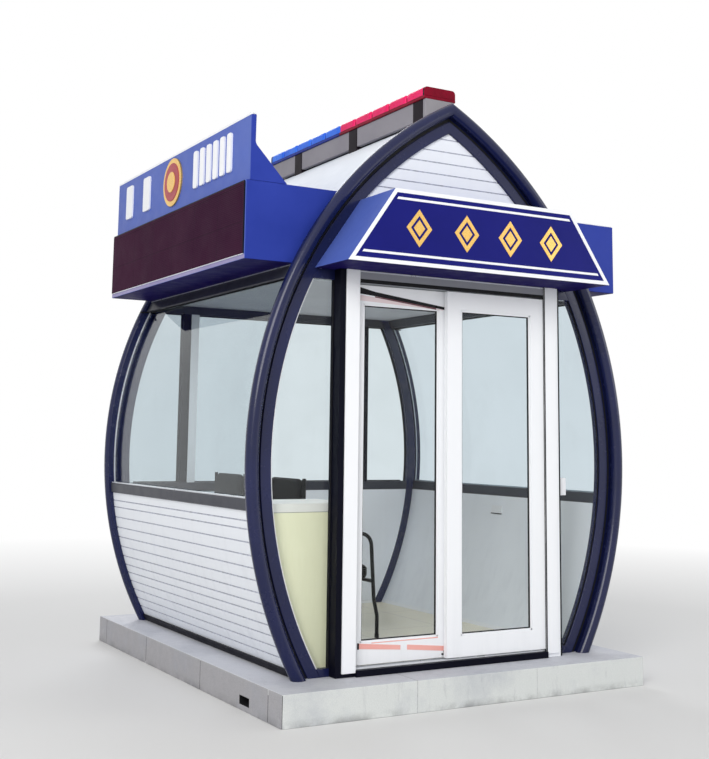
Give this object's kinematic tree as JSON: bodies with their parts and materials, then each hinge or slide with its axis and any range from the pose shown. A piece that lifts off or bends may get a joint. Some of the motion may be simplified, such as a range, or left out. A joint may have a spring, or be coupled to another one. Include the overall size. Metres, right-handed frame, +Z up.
{
  "type": "security guard booth",
  "caption": "Security guard booth with pointed navy arches, curved boarded walls, sliding glass doors, blue sign boxes and a red and blue light bar on its ridge.",
  "frame": {"origin": "centre of the overall box on the ground, under the plinth", "axes": "+Z up; -Y is the front with the sliding door; +X to the right as seen from the front"},
  "size_m": [2.412, 2.707, 3.2539],
  "materials": {
    "navy_paint": "gloss",
    "white_paint": "satin",
    "slate_paint": "satin",
    "grey_paint": "satin",
    "aluminium_trim": "satin",
    "sign_blue": "gloss",
    "screen_face": "matte",
    "glass": "gloss",
    "stone": "matte",
    "cream_floor": "satin",
    "desk_board": "satin",
    "red_lens": "gloss",
    "blue_lens": "gloss",
    "chair_fabric": "matte",
    "chair_tube": "gloss",
    "white_plastic": "satin"
  },
  "bodies": {
    "booth": {"plinth": "stone", "floor": "cream_floor", "ceiling": "white_paint", "front_arch": "navy_paint", "rear_arch": "navy_paint", "roof": "white_paint", "left_wall": "white_paint", "right_wall": "white_paint", "side_bottom_rails": "navy_paint", "side_sill_rails": "slate_paint", "side_glass": "glass", "side_head_rails": "slate_paint", "door_posts": "navy_paint", "post_covers": "aluminium_trim", "door_header": "grey_paint", "door_track": "navy_paint", "sidelight_rails": "slate_paint", "sidelight_glass": "glass", "front_gable": "white_paint", "rear_gable": "white_paint", "rear_wall": "white_paint", "rear_rails": "slate_paint", "rear_posts": "navy_paint", "rear_glass": "glass", "front_sign": "sign_blue", "front_sign_border": "white_paint", "left_sign_box": "sign_blue", "left_screen": "screen_face", "left_signboard": "sign_blue", "right_sign_box": "sign_blue", "right_screen": "screen_face", "right_signboard": "sign_blue", "light_bar_red": "red_lens", "light_bar_blue": "blue_lens", "light_bar_rail": "navy_paint", "light_bar_brackets": "navy_paint", "light_bar_panels": "grey_paint", "desk": "desk_board", "chair_pads": "chair_fabric", "chair_frames": "chair_tube", "control_box": "white_plastic"},
    "right_leaf": {"right_door_frame": "aluminium_trim", "right_door_glass": "glass"},
    "left_leaf": {"left_door_frame": "aluminium_trim", "left_door_glass": "glass"}
  },
  "joints": [
    {"name": "right_leaf_slide", "type": "slide", "parent": "booth", "child": "right_leaf", "axis": [-1, 0, 0], "range_m": [0, 0.539]},
    {"name": "left_leaf_slide", "type": "slide", "parent": "booth", "child": "left_leaf", "axis": [1, 0, 0], "range_m": [0, 0.583]}
  ]
}
